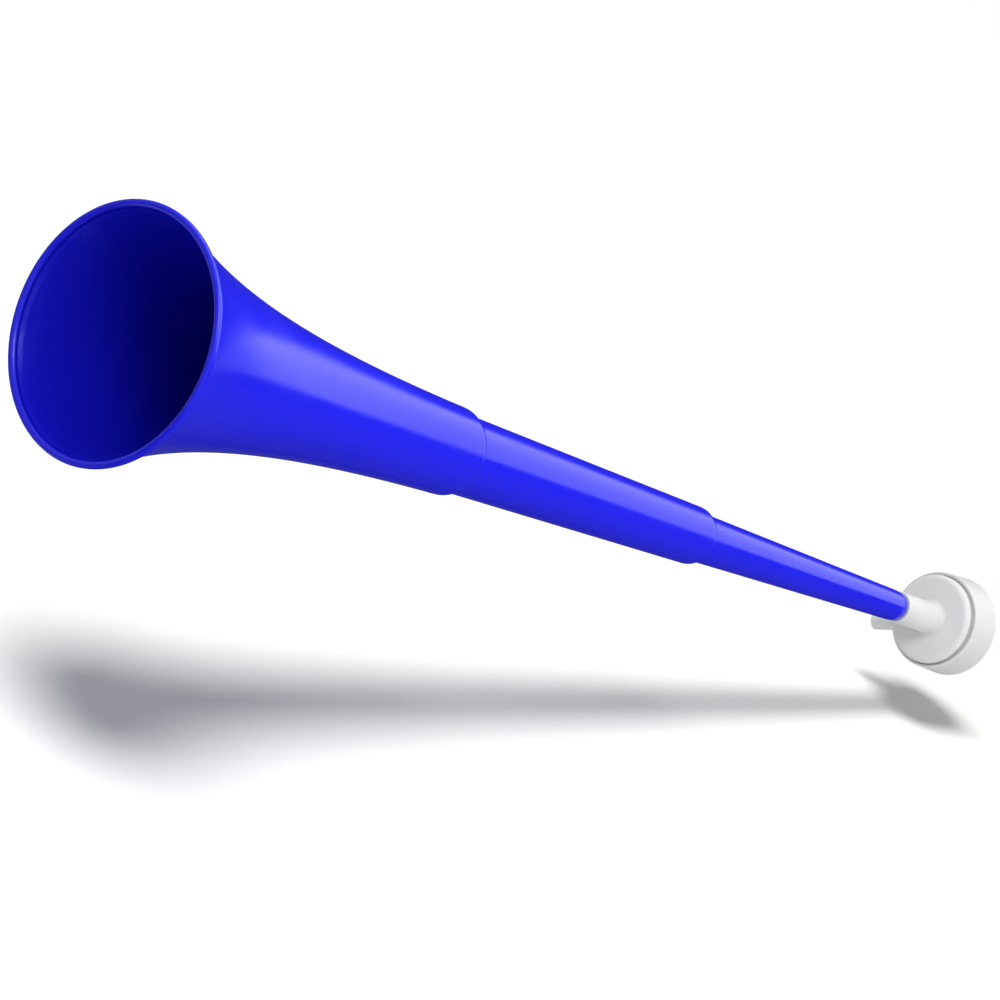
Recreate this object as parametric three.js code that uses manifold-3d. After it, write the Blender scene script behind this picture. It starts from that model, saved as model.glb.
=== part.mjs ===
// A telescopic stadium horn with a side-blown membrane mouthpiece.
// Millimetres, +Z up. The horn's axis is the X axis: the bell opens to -X and the mouthpiece is at +X.
// Stations are measured along the axis from the plane of the bell's rim.
import * as THREE from 'three';
import { mergeVertices } from 'three/addons/utils/BufferGeometryUtils.js';
import Module from 'manifold-3d';

const wasm = await Module();
wasm.setup();

// Sizes that all pieces share
const fitGap = 0.3;           // clearance between neighbouring pieces
const cutOverrun = 2;         // how far a cutting tool runs past the material
const facets = 48;            // flats round each turned piece
const smallFacets = 24;       // flats round the blow pipe and the vents
const bendSteps = 4;          // straight runs in a quarter bend
const fullTurn = 2 * Math.PI;
const halfFacet = Math.PI / facets;

// Tube sections
const tubeWall = 2.1;         // wall of the three blue sections
const overlap = 28;           // length that each section sits inside the wider one
const noseLength = 4.5;       // rounded small end of the bell and middle sections
const noseEdge = 0.35;        // flat edge left at the small end of the wider sections
const endRound = 0.6;         // rounding of the wide ends that slide inside

// Bell section
const mouthRadius = 60;       // outer radius of the rim
const rimWidth = 3.8;         // from the mouth's inner edge to the outside of the rim
const rimOuterRound = 1.6;
const rimInnerRound = 1.2;
const rimDepth = 5;           // how far the rolled rim reaches along the bell
const rimStandout = 0.7;      // how far the rim stands out of the flare
const bellLength = 249.3;
const flareLength = 94.6;     // length over which the flare closes by a factor of e
const flareSteps = 14;

// Middle section
const middleReach = 209.5;     // length that shows beyond the bell section
const middleTaperShare = 0.0201;   // radius lost for each unit of length

// Narrow section
const narrowReach = 201.2;    // length that shows beyond the middle section
const narrowNoseLength = 9;   // rounded tip at the mouthpiece
const narrowTaperShare = 0.0222;
const narrowTipWall = 2.8;    // wall round the mouthpiece's spigot
const narrowTipEdge = 1.2;    // flat edge at the very end

// Mouthpiece neck, which plugs into the narrow section and carries the disc
const airRadius = 4;          // sound channel through spigot, neck and centre tube
const spigotWall = 1.2;
const spigotLength = 22;
const spigotLead = 0.8;       // chamfer at the spigot's tip
const neckRadius = 8.75;
const neckNarrowing = 0.25;   // radius lost along the neck
const neckLength = 34.7;
const neckEdgeRound = 0.6;
const neckFillet = 3;
const discRadius = 24.9;
const discHeight = 5.4;       // how far the disc stands out of the housing
const discEdgeRound = 3;
const discPlate = 2.4;
const skirtDepth = 5.6;       // how far the disc's skirt reaches into the housing
const skirtWall = 2.3;
const snapHeight = 0.4;       // bead on the skirt, which snaps into a groove in the housing
const snapWidth = 1.8;
const centreTubeWall = 2.4;   // the membrane beats against this tube's end

// Blow chamber: the round housing and its blow pipe
const housingLength = 21.4;
const housingWall = 1.8;
const housingDraft = 0.6;     // the housing is wider at its back by this much
const housingFrontRound = 0.4;
const housingBackRound = 0.8;
const ledgeWidth = 2.2;       // inner shoulder that carries skirt and membrane
const pipeRadius = 4.6;
const pipeBoreRadius = 3.6;
const pipeReach = 45;         // from the horn's axis to the pipe's tip
const pipeTipRound = 0.5;
const pipeDroop = 32.5 * THREE.MathUtils.DEG2RAD;   // how far the pipe points below the horizontal

// Membrane, its clamping ring and the cap behind them
const membraneThickness = 0.3;
const ringThickness = 1.5;
const capDepth = 2.9;
const capPlate = 1.6;
const capEdgeRound = 0.4;
const dishDepth = 0.6;        // shallow dish in the cap's outer face
const dishRadiusShare = 0.74;
const ventCount = 6;
const ventRadius = 1.6;
const ventCircleShare = 0.46; // the vents' circle, as a share of the cap's radius
const centreVentRadius = 2.2;

// Stations of the pieces along the horn
const middleStart = bellLength - overlap;
const middleEnd = bellLength + middleReach;
const narrowStart = middleEnd - overlap;
const narrowEnd = middleEnd + narrowReach;
const neckStart = narrowEnd + fitGap;
const housingStart = neckStart + neckLength + discHeight;
const hornLength = housingStart + housingLength;

// Radii, from the air channel outwards
const spigotRadius = airRadius + spigotWall;
const spigotBoreRadius = spigotRadius + fitGap;
const narrowTipRadius = spigotBoreRadius + narrowTipWall;
const middleTipRadius = narrowOuter(middleEnd) + fitGap + tubeWall;
const throatRadius = middleOuter(bellLength) + fitGap + tubeWall;
const socketRadius = discRadius + fitGap;
const chamberRadius = socketRadius - ledgeWidth;
const capRadius = socketRadius - fitGap;

// Depths inside the housing, from its front face
const socketDepth = skirtDepth + fitGap;
const membraneStart = housingLength - capDepth - ringThickness - membraneThickness - 2 * fitGap;
const ledgeEnd = membraneStart - fitGap;
const ringStart = membraneStart + membraneThickness + fitGap;
const capStart = ringStart + ringThickness + fitGap;
const pipeStation = (socketDepth + ledgeEnd) / 2;
const snapStation = skirtDepth / 2;

const blue = { color: 0x1a1af2, roughness: 0.28, metalness: 0 };
const white = { color: 0xf0f0f0, roughness: 0.35, metalness: 0 };
const film = { color: 0xe4e4e2, roughness: 0.2, metalness: 0 };

// Outer radius of each section at a station of the horn
function narrowOuter(station) {
  return narrowTipRadius + narrowTaperShare * (narrowEnd - station);
}

function middleOuter(station) {
  return middleTipRadius + middleTaperShare * (middleEnd - station);
}

function bellOuter(station) {
  const endShare = Math.exp(-bellLength / flareLength);
  const share = (Math.exp(-station / flareLength) - endShare) / (1 - endShare);
  return throatRadius + share * (mouthRadius - rimStandout - throatRadius);
}

// The bell's inside follows its outside, but never closes below the seat of the middle section.
function bellInner(station) {
  return Math.max(bellOuter(station) - tubeWall, middleOuter(middleStart) + fitGap);
}

// Points of an outline are (radius, station).
function at(radius, station) {
  return new THREE.Vector2(radius, station);
}

// A quarter bend that leaves one point along the axis and reaches the next one square to it.
function bendOut(from, to) {
  return bendPoints((turn) => at(
    to.x + (from.x - to.x) * Math.cos(turn),
    from.y + (to.y - from.y) * Math.sin(turn)
  ));
}

// A quarter bend that leaves square to the axis and ends along it.
function bendAlong(from, to) {
  return bendPoints((turn) => at(
    from.x + (to.x - from.x) * Math.sin(turn),
    to.y + (from.y - to.y) * Math.cos(turn)
  ));
}

function bendPoints(pointAt) {
  const points = [];
  for (let step = 0; step <= bendSteps; step++) {
    points.push(pointAt((step / bendSteps) * Math.PI / 2));
  }
  return points;
}

// Points along a wall whose radius depends on the station
function wallPoints(radiusAt, from, to, steps) {
  const points = [];
  for (let step = 0; step <= steps; step++) {
    const station = from + (to - from) * (step / steps);
    points.push(at(radiusAt(station), station));
  }
  return points;
}

// A piece turned from a closed outline. The flats are placed so that one faces straight down.
function turned(outline) {
  return new THREE.LatheGeometry([...outline, outline[0].clone()], facets, halfFacet, fullTurn);
}

// A turned piece's mesh, with its start at the given station of the group that carries it.
function piece(name, geometry, finish, station) {
  const mesh = new THREE.Mesh(geometry, new THREE.MeshStandardMaterial(finish));
  mesh.name = name;
  mesh.position.y = station;
  return mesh;
}

// Turns a closed geometry into a solid that can be joined and cut.
function solid(geometry) {
  geometry.deleteAttribute('normal');
  geometry.deleteAttribute('uv');
  const merged = mergeVertices(geometry);
  const index = merged.getIndex().array;
  const corners = [];
  for (let i = 0; i < index.length; i += 3) {
    const [a, b, c] = index.slice(i, i + 3);
    if (a !== b && b !== c && c !== a) {
      corners.push(a, b, c);
    }
  }
  const mesh = new wasm.Mesh({
    numProp: 3,
    vertProperties: new Float32Array(merged.getAttribute('position').array),
    triVerts: new Uint32Array(corners)
  });
  return new wasm.Manifold(mesh);
}

// Turns a joined or cut solid back into a geometry.
function geometryOf(body) {
  const mesh = body.getMesh();
  const geometry = new THREE.BufferGeometry();
  geometry.setAttribute('position', new THREE.BufferAttribute(mesh.vertProperties, 3));
  geometry.setIndex(new THREE.BufferAttribute(mesh.triVerts, 1));
  geometry.computeVertexNormals();
  return geometry;
}

// The flared bell section: rolled rim, flare, rounded small end and the tapered seat inside it.
function bellSection() {
  const rimInner = mouthRadius - rimWidth;
  const noseStart = bellLength - noseLength;
  const seatEnd = at(middleOuter(bellLength) + fitGap, bellLength);
  const outline = [
    ...bendOut(at(rimInner, rimInnerRound), at(rimInner + rimInnerRound, 0)),
    ...bendAlong(at(mouthRadius - rimOuterRound, 0), at(mouthRadius, rimOuterRound)),
    ...bendOut(at(mouthRadius, rimOuterRound), at(bellOuter(rimDepth), rimDepth)).slice(1),
    ...wallPoints(bellOuter, rimDepth, noseStart, flareSteps).slice(1),
    ...bendOut(at(bellOuter(noseStart), noseStart), at(seatEnd.x + noseEdge, bellLength)).slice(1),
    seatEnd,
    ...wallPoints(bellInner, middleStart, rimDepth, flareSteps)
  ];
  return piece('bell_section', turned(outline), blue, 0);
}

// The middle section, in stations from its own wide end
function middleSection() {
  const length = middleEnd - middleStart;
  const outer = (station) => middleOuter(middleStart + station);
  const innerStart = outer(0) - tubeWall;
  const seatEnd = at(narrowOuter(middleEnd) + fitGap, length);
  const noseStart = length - noseLength;
  const outline = [
    at(innerStart, 0),
    ...bendAlong(at(outer(0) - endRound, 0), at(outer(endRound), endRound)),
    ...bendOut(at(outer(noseStart), noseStart), at(seatEnd.x + noseEdge, length)),
    seatEnd,
    at(narrowOuter(narrowStart) + fitGap, length - overlap)
  ];
  return piece('middle_section', turned(outline), blue, middleStart);
}

// The narrow section, in stations from its own wide end. Its tip is bored straight for the spigot.
function narrowSection() {
  const length = narrowEnd - narrowStart;
  const outer = (station) => narrowOuter(narrowStart + station);
  const boreStart = length - spigotLength - 2 * fitGap;
  const coneStart = boreStart - spigotBoreRadius;
  const noseStart = length - narrowNoseLength;
  const outline = [
    at(outer(0) - tubeWall, 0),
    ...bendAlong(at(outer(0) - endRound, 0), at(outer(endRound), endRound)),
    ...bendOut(at(outer(noseStart), noseStart), at(spigotBoreRadius + narrowTipEdge, length)),
    at(spigotBoreRadius, length),
    at(spigotBoreRadius, boreStart),
    at(outer(coneStart) - tubeWall, coneStart)
  ];
  return piece('narrow_section', turned(outline), blue, narrowStart);
}

// Spigot, neck, disc with its skirt, and the centre tube, in stations from the neck's shoulder
function mouthpieceNeck() {
  const neckEndRadius = neckRadius - neckNarrowing;
  const discFace = neckLength;
  const housingFront = neckLength + discHeight;
  const skirtEnd = housingFront + skirtDepth;
  const plateBack = discFace + discPlate;
  const bead = housingFront + snapStation;
  const tubeRadius = airRadius + centreTubeWall;
  const tubeEnd = housingFront + ledgeEnd;
  const outline = [
    at(airRadius, -spigotLength),
    at(spigotRadius - spigotLead, -spigotLength),
    at(spigotRadius, spigotLead - spigotLength),
    at(spigotRadius, 0),
    ...bendAlong(at(neckRadius - neckEdgeRound, 0), at(neckRadius, neckEdgeRound)),
    ...bendOut(at(neckEndRadius, discFace - neckFillet), at(neckEndRadius + neckFillet, discFace)),
    ...bendAlong(at(discRadius - discEdgeRound, discFace), at(discRadius, discFace + discEdgeRound)),
    at(discRadius, bead - snapWidth / 2),
    at(discRadius + snapHeight, bead),
    at(discRadius, bead + snapWidth / 2),
    at(discRadius, skirtEnd),
    at(discRadius - skirtWall, skirtEnd),
    at(discRadius - skirtWall, plateBack),
    at(tubeRadius, plateBack),
    at(tubeRadius, tubeEnd),
    at(airRadius, tubeEnd)
  ];
  return piece('mouthpiece_neck', turned(outline), white, 0);
}

// A round bar along local -X, centred on the pipe's station
function sideBar(radius, from, to, tipRound) {
  const outline = [
    at(0, from),
    at(radius, from),
    ...bendOut(at(radius, to - tipRound), at(radius - tipRound, to)),
    at(0, to)
  ];
  const bar = new THREE.LatheGeometry(outline, smallFacets);
  bar.rotateZ(Math.PI / 2);
  bar.translate(0, pipeStation, 0);
  return bar;
}

// The housing with its blow pipe, in stations from the housing's front face
function blowChamber() {
  const frontRadius = socketRadius + housingWall;
  const backRadius = frontRadius + housingDraft;
  const grooveHalf = snapWidth / 2 + fitGap;
  const outline = [
    at(socketRadius, 0),
    ...bendAlong(at(frontRadius - housingFrontRound, 0), at(frontRadius, housingFrontRound)),
    ...bendOut(
      at(backRadius, housingLength - housingBackRound),
      at(backRadius - housingBackRound, housingLength)
    ),
    at(socketRadius, housingLength),
    at(socketRadius, ledgeEnd),
    at(chamberRadius, ledgeEnd),
    at(chamberRadius, socketDepth),
    at(socketRadius, socketDepth),
    at(socketRadius, snapStation + grooveHalf),
    at(socketRadius + snapHeight, snapStation),
    at(socketRadius, snapStation - grooveHalf)
  ];
  const wallMiddle = (chamberRadius + frontRadius) / 2;
  const pipe = solid(sideBar(pipeRadius, wallMiddle, pipeReach, pipeTipRound));
  const bore = solid(sideBar(pipeBoreRadius, chamberRadius - cutOverrun, pipeReach + cutOverrun, 0));
  const body = solid(turned(outline)).add(pipe).subtract(bore);
  return piece('blow_chamber', geometryOf(body), white, 0);
}

// The vibrating film, laid on the housing's inner shoulder
function membrane() {
  const sheet = new THREE.CylinderGeometry(
    capRadius, capRadius, membraneThickness, facets, 1, false, halfFacet
  );
  return piece('membrane', sheet, film, membraneStart + membraneThickness / 2);
}

// The ring that clamps the film's edge
function membraneRing() {
  const inner = capRadius - ledgeWidth;
  const outline = [
    at(inner, 0),
    at(capRadius, 0),
    at(capRadius, ringThickness),
    at(inner, ringThickness)
  ];
  return piece('membrane_ring', turned(outline), white, ringStart);
}

// The push-in cap with its dished outer face and its vents
function rearCap() {
  const rimInner = capRadius - ledgeWidth;
  const dishRadius = capRadius * dishRadiusShare;
  const plateFront = capDepth - capPlate;
  const outline = [
    at(centreVentRadius, plateFront),
    at(rimInner, plateFront),
    at(rimInner, 0),
    at(capRadius, 0),
    ...bendOut(at(capRadius, capDepth - capEdgeRound), at(capRadius - capEdgeRound, capDepth)),
    at(dishRadius, capDepth),
    at(dishRadius - dishDepth, capDepth - dishDepth),
    at(centreVentRadius, capDepth - dishDepth)
  ];
  let body = solid(turned(outline));
  const drillLength = capDepth + 2 * cutOverrun;
  const ventCircle = capRadius * ventCircleShare;
  for (let i = 0; i < ventCount; i++) {
    const angle = (i / ventCount) * fullTurn;
    const drill = new THREE.CylinderGeometry(ventRadius, ventRadius, drillLength, smallFacets);
    drill.translate(ventCircle * Math.cos(angle), capDepth / 2, ventCircle * Math.sin(angle));
    body = body.subtract(solid(drill));
  }
  return piece('rear_cap', geometryOf(body), white, capStart);
}

// The housing turns on the disc's skirt, and carries the membrane, its ring and the cap.
const chamber = new THREE.Group();
chamber.position.y = neckLength + discHeight;
chamber.rotation.y = -pipeDroop;
chamber.add(blowChamber(), membrane(), membraneRing(), rearCap());

const mouthpiece = new THREE.Group();
mouthpiece.position.y = neckStart;
mouthpiece.add(mouthpieceNeck(), chamber);

// The horn is laid along X, with its middle at the origin.
const horn = new THREE.Group();
horn.rotation.z = -Math.PI / 2;
horn.position.x = -hornLength / 2;
horn.add(bellSection(), middleSection(), narrowSection(), mouthpiece);

const vuvuzela = new THREE.Group();
vuvuzela.add(horn);

export default vuvuzela;
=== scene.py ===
# %% [markdown]
# # A plastic stadium horn with a side-blown mouthpiece
# The object is a long blue horn in three sections that slide into each other, with a white mouthpiece.
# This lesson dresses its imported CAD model: every piece is rebuilt with a finer surface and a real finish,
# and stays on the body that moves it. The first cell loads the CAD model, which nothing here changes.

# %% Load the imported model
import math

import bmesh
import bpy
from mathutils import Matrix, Vector


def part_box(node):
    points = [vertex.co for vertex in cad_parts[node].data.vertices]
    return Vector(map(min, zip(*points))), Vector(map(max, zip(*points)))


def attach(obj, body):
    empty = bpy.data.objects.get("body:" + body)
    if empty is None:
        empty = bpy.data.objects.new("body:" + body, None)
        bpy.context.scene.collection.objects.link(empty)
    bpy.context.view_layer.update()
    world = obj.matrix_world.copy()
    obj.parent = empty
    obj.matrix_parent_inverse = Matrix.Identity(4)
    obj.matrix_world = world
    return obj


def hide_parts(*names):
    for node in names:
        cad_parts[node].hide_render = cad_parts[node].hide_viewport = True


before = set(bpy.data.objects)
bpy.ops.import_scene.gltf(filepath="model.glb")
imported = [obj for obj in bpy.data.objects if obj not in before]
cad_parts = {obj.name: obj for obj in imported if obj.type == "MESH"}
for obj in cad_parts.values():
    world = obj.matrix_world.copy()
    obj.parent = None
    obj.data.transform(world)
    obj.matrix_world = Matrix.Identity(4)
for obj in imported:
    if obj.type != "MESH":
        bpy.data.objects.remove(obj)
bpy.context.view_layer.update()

# %% [markdown]
# ## Turning a piece
# Nearly every piece of this horn is round, so a lathe makes it: an outline of (station, radius) points goes
# once round the horn's axis. Blender has a Screw modifier and a Spin tool for that. Here the rings are built
# with bmesh instead, because then the number of points and their places are exactly those of the outline.
# Sizes are in millimetres, as on a drawing, and become metres where the vertices are made.

# %% Arcs of an outline
MM = 0.001
ARC_STEPS = 10


def arc(start, end, square_first):
    """A quarter bend between two points: it leaves square to the axis, or along it."""
    points = []
    for step in range(ARC_STEPS + 1):
        turn = step / ARC_STEPS * math.pi / 2
        early, late = math.sin(turn), 1 - math.cos(turn)
        along, out = (late, early) if square_first else (early, late)
        points.append((start[0] + (end[0] - start[0]) * along, start[1] + (end[1] - start[1]) * out))
    return points


print("an arc has", len(arc((0, 0), (1, 1), True)), "points")

# %% [markdown]
# Moulded plastic has no knife edges: each corner has a small rounding that catches a thin line of light.
# A Bevel modifier could add it to the finished mesh. It is simpler to round the outline's corners before
# turning, because an outline is flat and a corner there is only one point.

# %% Soft corners
CORNER_ROUND, CORNER_SHARE = 0.15, 0.4
CORNER_TURN = math.radians(35)
CORNER_STEPS = 4
TINY = 1e-6


def soften(outline):
    """Rounds each sharp corner of a closed outline by CORNER_ROUND, or by CORNER_SHARE of a short side."""
    points = [Vector(point) for point in outline]
    soft = []
    for index, corner in enumerate(points):
        before, after = points[index - 1] - corner, points[(index + 1) % len(points)] - corner
        if before.length < TINY:
            continue
        if after.length < TINY or corner.y < TINY or math.pi - before.angle(after) < CORNER_TURN:
            soft.append(tuple(corner))
            continue
        start = corner + before.normalized() * min(CORNER_ROUND, before.length * CORNER_SHARE)
        end = corner + after.normalized() * min(CORNER_ROUND, after.length * CORNER_SHARE)
        for step in range(CORNER_STEPS + 1):
            share = step / CORNER_STEPS
            first, second = start.lerp(corner, share), corner.lerp(end, share)
            soft.append(tuple(first.lerp(second, share)))
    return soft


# %% [markdown]
# Smooth shading blends the light across each face. On a long flat face next to a small rounding, that blend
# would make the flat look swollen. An extra ring close to each end of a long stretch holds the flat flat.

# %% Holding rings
HOLD = 0.35
LONG_STRETCH = 1.6


def with_holding_rings(outline):
    """Adds a point near both ends of each long straight stretch of a closed outline."""
    held = []
    for index, point in enumerate(outline):
        start, end = Vector(point), Vector(outline[(index + 1) % len(outline)])
        held.append(tuple(start))
        length = (end - start).length
        if length > LONG_STRETCH and start.y + end.y > TINY:
            held.append(tuple(start.lerp(end, HOLD / length)))
            held.append(tuple(end.lerp(start, HOLD / length)))
    return held


# %% [markdown]
# The lathe itself: one ring of vertices for each point of the outline, and a band of four-sided faces between
# neighbouring rings. A point on the axis is a single vertex, with triangles round it.
# 192 steps round make the bell's rim look round even in a close view.

# %% The lathe
ROUND_STEPS = 192
SHARP_ANGLE = math.radians(32)


def lathe(outline, steps=ROUND_STEPS):
    """A closed mesh turned about the X axis from a closed outline of (station, radius) in mm."""
    made = bmesh.new()
    rings = []
    for station, radius in outline:
        if radius < TINY:
            rings.append([made.verts.new((station * MM, 0, 0))])
            continue
        ring = []
        for step in range(steps):
            turn = 2 * math.pi * step / steps
            across, height = radius * MM * math.cos(turn), radius * MM * math.sin(turn)
            ring.append(made.verts.new((station * MM, across, height)))
        rings.append(ring)
    for index, ring in enumerate(rings):
        following = rings[(index + 1) % len(rings)]
        if len(ring) == len(following) == 1:
            continue
        for step in range(steps):
            later = (step + 1) % steps
            corners = [ring[step % len(ring)], following[step % len(following)]]
            corners += [following[later % len(following)], ring[later % len(ring)]]
            made.faces.new(list(dict.fromkeys(corners)))
    bmesh.ops.recalc_face_normals(made, faces=made.faces)
    mesh = bpy.data.meshes.new("turned")
    made.to_mesh(mesh)
    made.free()
    return mesh


def turned_piece(name, outline, start):
    """An object turned from an outline, softened and held, with its zero station at start (mm along X)."""
    mesh = lathe(with_holding_rings(soften(outline)))
    mesh.transform(Matrix.Translation((start * MM, 0, 0)))
    return finished_object(name, mesh)


def finished_object(name, mesh):
    """Puts a mesh in the scene, shaded smooth but for its sharp corners."""
    mesh.name = name
    mesh.shade_smooth()
    mesh.set_sharp_from_angle(angle=SHARP_ANGLE)
    made = bpy.data.objects.new(name, mesh)
    bpy.context.scene.collection.objects.link(made)
    stations = [vertex.co.x / MM for vertex in mesh.vertices]
    print(f"{name}: {len(mesh.polygons)} faces, x from {min(stations):.1f} to {max(stations):.1f} mm")
    return made


# %% [markdown]
# ## Sizes that neighbours share
# The three tubes are cones that wedge in each other, and the mouthpiece plugs into the last one, so their
# radii come from the inside out: air channel, spigot, tip of the narrow section, middle section, bell.
# The stations where pieces start are read from the CAD model, so the new pieces lie exactly on the old ones.

# %% Stations and radii
GAP = 0.3
TUBE_WALL = 2.1
OVERLAP = 28
NOSE, TIP_NOSE = 4.5, 9
NOSE_EDGE, NOSE_GAP, NOSE_SEAL = 0.15, 0.06, 0.6
END_ROUND = 0.6
SPIGOT_RADIUS = 5.2
SPIGOT_LENGTH = 22
NARROW_TIP_WALL = 2.8
MIDDLE_TAPER, NARROW_TAPER = 0.0201, 0.0222


def start_of(node):
    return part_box(node)[0].x / MM


def end_of(node):
    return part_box(node)[1].x / MM


bell_start, bell_end = start_of("bell_section"), end_of("bell_section")
middle_start, middle_end = start_of("middle_section"), end_of("middle_section")
narrow_start, narrow_end = start_of("narrow_section"), end_of("narrow_section")
neck_start = start_of("mouthpiece_neck") + SPIGOT_LENGTH
housing_start = start_of("blow_chamber")
spigot_bore = SPIGOT_RADIUS + GAP


def narrow_outer(x):
    return spigot_bore + NARROW_TIP_WALL + NARROW_TAPER * (narrow_end - x)


def middle_outer(x):
    return narrow_outer(middle_end) + GAP + TUBE_WALL + MIDDLE_TAPER * (middle_end - x)


throat_radius = middle_outer(bell_end) + GAP + TUBE_WALL
tip_radii = [narrow_outer(narrow_end), middle_outer(middle_end), throat_radius]
print("tip radii in mm:", [round(radius, 2) for radius in tip_radii])

# %% [markdown]
# ## The bell section
# On the real horn this is a blow-moulded or injection-moulded trumpet flare. Its wall follows an exponential
# curve, as loudspeaker horns do: the radius falls by the same share over each equal step, down to the throat.
# The rim is rolled: a rounding outside, a narrow flat land that the horn stands on, and a broader rounding
# that leads inside. The roundings show as thin bright lines on both sides of the land. A Bezier outline could
# be drawn by eye, but the formula needs only two measures, and has no bumps that a shiny surface would give
# away.

# %% Bell outline
MOUTH_RADIUS = 60
RIM_WIDTH, RIM_DEPTH, RIM_STANDOUT = 3.8, 5, 0.7
RIM_OUTER_ROUND = 1.3
LIP_WIDTH, LIP_DEPTH = 2, 2.6
FLARE_LENGTH = 94.6
FLARE_STEPS = 72
bell_length = bell_end - bell_start


def bell_outer(station):
    end_share = math.exp(-bell_length / FLARE_LENGTH)
    share = (math.exp(-station / FLARE_LENGTH) - end_share) / (1 - end_share)
    return throat_radius + share * (MOUTH_RADIUS - RIM_STANDOUT - throat_radius)


def bell_inner(station):
    return max(bell_outer(station) - TUBE_WALL, middle_outer(middle_start) + GAP)


def wall(radius_at, first, last, steps):
    """Evenly spaced points along a wall whose radius depends on the station."""
    stations = [first + (last - first) * step / steps for step in range(steps + 1)]
    return [(station, radius_at(station)) for station in stations]


nose_start = bell_length - NOSE
seat_radius = middle_outer(bell_end) + GAP
rim_inner = MOUTH_RADIUS - RIM_WIDTH
bell_outline = arc((LIP_DEPTH, rim_inner), (0, rim_inner + LIP_WIDTH), False)
bell_outline += arc((0, MOUTH_RADIUS - RIM_OUTER_ROUND), (RIM_OUTER_ROUND, MOUTH_RADIUS), True)
bell_outline += arc((RIM_OUTER_ROUND, MOUTH_RADIUS), (RIM_DEPTH, bell_outer(RIM_DEPTH)), False)[1:]
bell_outline += wall(bell_outer, RIM_DEPTH, nose_start, FLARE_STEPS)[1:]
seal_radius = middle_outer(bell_end) + NOSE_GAP
bell_outline += arc((nose_start, bell_outer(nose_start)), (bell_length, seal_radius + NOSE_EDGE), False)[1:]
bell_outline += [(bell_length, seal_radius), (bell_length - NOSE_SEAL, seat_radius)]
bell_outline += wall(bell_inner, middle_start - bell_start, RIM_DEPTH, FLARE_STEPS)
bell_shell = turned_piece("bell_shell", bell_outline, bell_start)

# %% [markdown]
# ## The two sliding tubes
# Each tube is a slim cone that ends in a rounded nose, and has a small rounding at the wide end, which slides
# inside the wider section. Only the sizes differ, so one function draws both outlines.
# The narrow tube's tip is bored straight for the mouthpiece's spigot.

# %% Middle and narrow tubes
def tube_outline(outer, start, end, nose_length, edge_radius, inside):
    """A slim cone from its wide end to its rounded nose, then back along the inside points given."""
    length = end - start
    wide, nose = outer(start), length - nose_length
    points = [(0, wide - TUBE_WALL)]
    points += arc((0, wide - END_ROUND), (END_ROUND, outer(start + END_ROUND)), True)
    points += arc((nose, outer(start + nose)), (length, edge_radius), False)
    return points + inside


middle_length = middle_end - middle_start
middle_seat = narrow_outer(middle_end) + GAP
middle_seal = narrow_outer(middle_end) + NOSE_GAP
middle_inside = [(middle_length, middle_seal), (middle_length - NOSE_SEAL, middle_seat)]
middle_inside += [(middle_length - OVERLAP, narrow_outer(narrow_start) + GAP)]
middle_edge = middle_seal + NOSE_EDGE
middle_outline = tube_outline(middle_outer, middle_start, middle_end, NOSE, middle_edge, middle_inside)
middle_tube = turned_piece("middle_tube", middle_outline, middle_start)

NARROW_TIP_EDGE = 1.2
narrow_length = narrow_end - narrow_start
bore_start = narrow_length - SPIGOT_LENGTH - 2 * GAP
cone_start = bore_start - spigot_bore
narrow_inside = [(narrow_length, spigot_bore), (bore_start, spigot_bore)]
narrow_inside += [(cone_start, narrow_outer(narrow_start + cone_start) - TUBE_WALL)]
tip_edge = spigot_bore + NARROW_TIP_EDGE
narrow_outline = tube_outline(narrow_outer, narrow_start, narrow_end, TIP_NOSE, tip_edge, narrow_inside)
narrow_tube = turned_piece("narrow_tube", narrow_outline, narrow_start)

# %% [markdown]
# ## The mouthpiece's neck
# One moulding in white plastic: a spigot that plugs into the blue tip, a short neck, a fillet that widens
# into a round disc with a full edge, and behind the disc a skirt and a thin centre tube, both hidden in the
# housing. The membrane beats against the end of the centre tube, and that makes the sound.
# Between the disc's edge and the housing the skirt is a little slimmer. That groove lies in shade and draws
# the grey ring round the disc.

# %% Neck outline
AIR_RADIUS = 4
SPIGOT_LEAD = 0.8
NECK_RADIUS, NECK_END_RADIUS, NECK_LENGTH = 8.75, 8.5, 34.7
NECK_EDGE_ROUND, NECK_FILLET = 0.6, 3
DISC_RADIUS, DISC_EDGE_ROUND, DISC_PLATE = 24.9, 3, 2.4
SKIRT_WALL, SKIRT_DEPTH = 2.3, 5.6
SNAP_HEIGHT, SNAP_WIDTH = 0.4, 1.8
GROOVE_DEPTH, GROOVE_ROUND, GROOVE_MARGIN = 1.3, 0.5, 0.3
TUBE_RADIUS = 6.4
LEDGE_END = 15.8
housing_front = housing_start - neck_start
snap_station = housing_front + SKIRT_DEPTH / 2
skirt_end = housing_front + SKIRT_DEPTH
neck_outline = [(-SPIGOT_LENGTH, AIR_RADIUS), (-SPIGOT_LENGTH, SPIGOT_RADIUS - SPIGOT_LEAD)]
neck_outline += [(SPIGOT_LEAD - SPIGOT_LENGTH, SPIGOT_RADIUS), (0, SPIGOT_RADIUS)]
neck_outline += arc((0, NECK_RADIUS - NECK_EDGE_ROUND), (NECK_EDGE_ROUND, NECK_RADIUS), True)
fillet_start = (NECK_LENGTH - NECK_FILLET, NECK_END_RADIUS)
neck_outline += arc(fillet_start, (NECK_LENGTH, NECK_END_RADIUS + NECK_FILLET), False)
disc_edge_end = (NECK_LENGTH + DISC_EDGE_ROUND, DISC_RADIUS)
neck_outline += arc((NECK_LENGTH, DISC_RADIUS - DISC_EDGE_ROUND), disc_edge_end, True)
groove_start = disc_edge_end[0] + GROOVE_ROUND
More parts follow.
